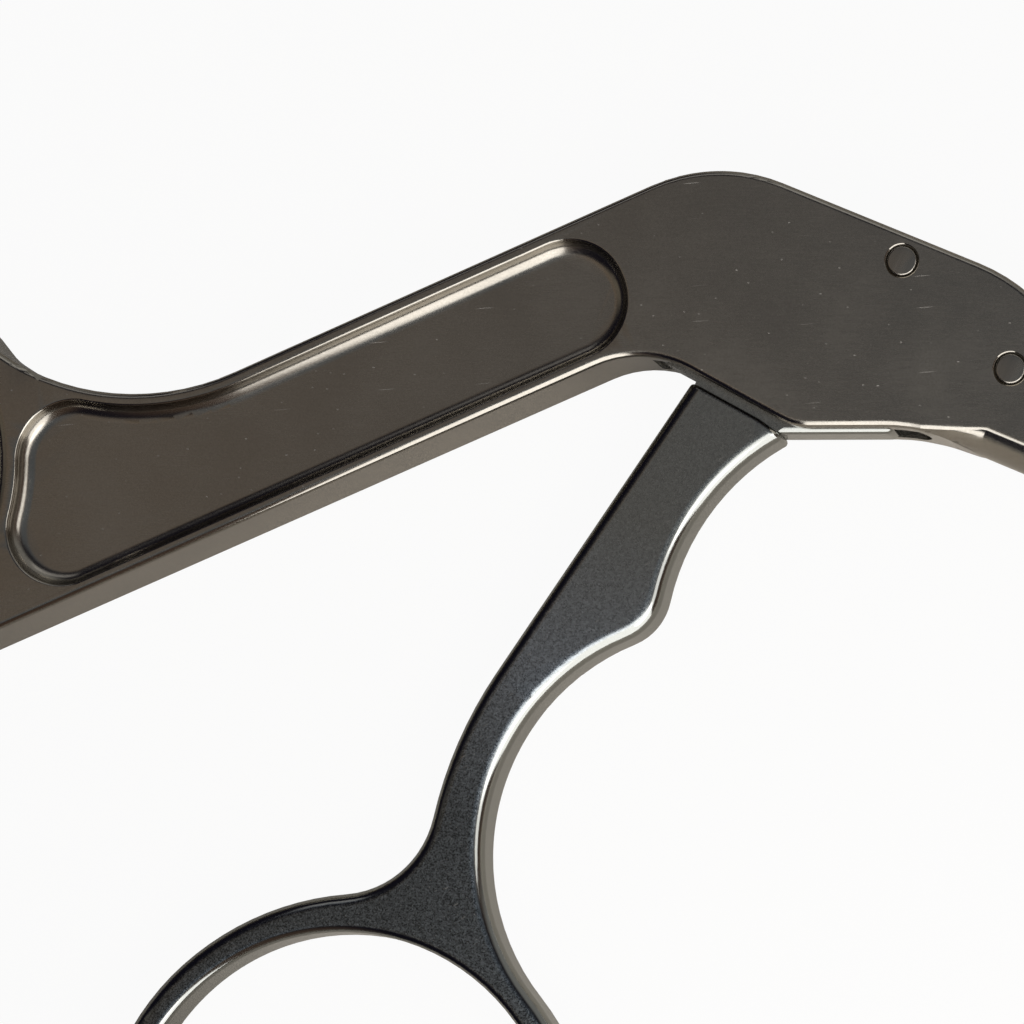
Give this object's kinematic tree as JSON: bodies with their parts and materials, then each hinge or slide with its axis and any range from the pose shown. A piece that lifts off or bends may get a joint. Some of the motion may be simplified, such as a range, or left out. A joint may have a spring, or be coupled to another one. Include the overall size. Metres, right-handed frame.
{
  "type": "hook scissors",
  "caption": "Ring-handled hook scissors for keyhole surgery: fixed thumb-ring handle, swinging finger lever, slim round shaft and hooked blades driven by an inner rod.",
  "frame": {"origin": "on the shaft axis, at the front face of the shaft collar", "axes": "+X along the shaft towards the blades, +Y up in the plane of the handles, +Z square to the flat handle, out of its near side"},
  "size_m": [0.2357, 0.0891, 0.0064],
  "materials": {
    "satin_handle_steel": "satin, fine brushed",
    "tumbled_lever_steel": "tumbled, slightly speckled satin",
    "pin_steel": "ground flush",
    "shaft_steel": "drawn tube, fine polish",
    "rod_steel": "drawn, bright",
    "blade_steel": "hardened, ground",
    "bush_brass": "turned"
  },
  "bodies": {
    "handle": {"fixed_handle": "satin_handle_steel", "lever_pivot_pin": "pin_steel", "shaft_lock_pin": "pin_steel", "shaft_collar": "shaft_steel", "outer_tube": "shaft_steel", "rear_rod_bush": "bush_brass", "front_rod_bush": "bush_brass", "fixed_blade": "blade_steel", "blade_pivot_pin": "pin_steel", "near_jaw_pin": "pin_steel", "far_jaw_pin": "pin_steel"},
    "lever": {"finger_lever": "tumbled_lever_steel", "lever_drive_pin": "pin_steel"},
    "rod": {"drive_rod": "rod_steel", "drive_block": "rod_steel", "drive_block_pin": "pin_steel", "rod_tip": "rod_steel", "rod_tip_pin": "pin_steel", "blade_drive_pin": "pin_steel"},
    "blade": {"moving_blade": "blade_steel"}
  },
  "joints": [
    {"name": "lever_swing", "type": "hinge", "parent": "handle", "child": "lever", "pos_m": [-0.0214, 0.00585, 0], "axis": [0, 0, 1], "range_deg": [0, 8.6]},
    {"name": "rod_slide", "type": "slide", "parent": "handle", "child": "rod", "axis": [1, 0, 0], "range_m": [0, 0.00087973]},
    {"name": "blade_swing", "type": "hinge", "parent": "handle", "child": "blade", "pos_m": [0.1225, 0.0007, 0], "axis": [0, 0, 1], "range_deg": [0, 35]}
  ],
  "couplings": [
    {"joint": "rod_slide", "follows": "lever_swing", "m_per_rad": 0.005861},
    {"joint": "blade_swing", "follows": "lever_swing", "ratio": 4.0698}
  ]
}
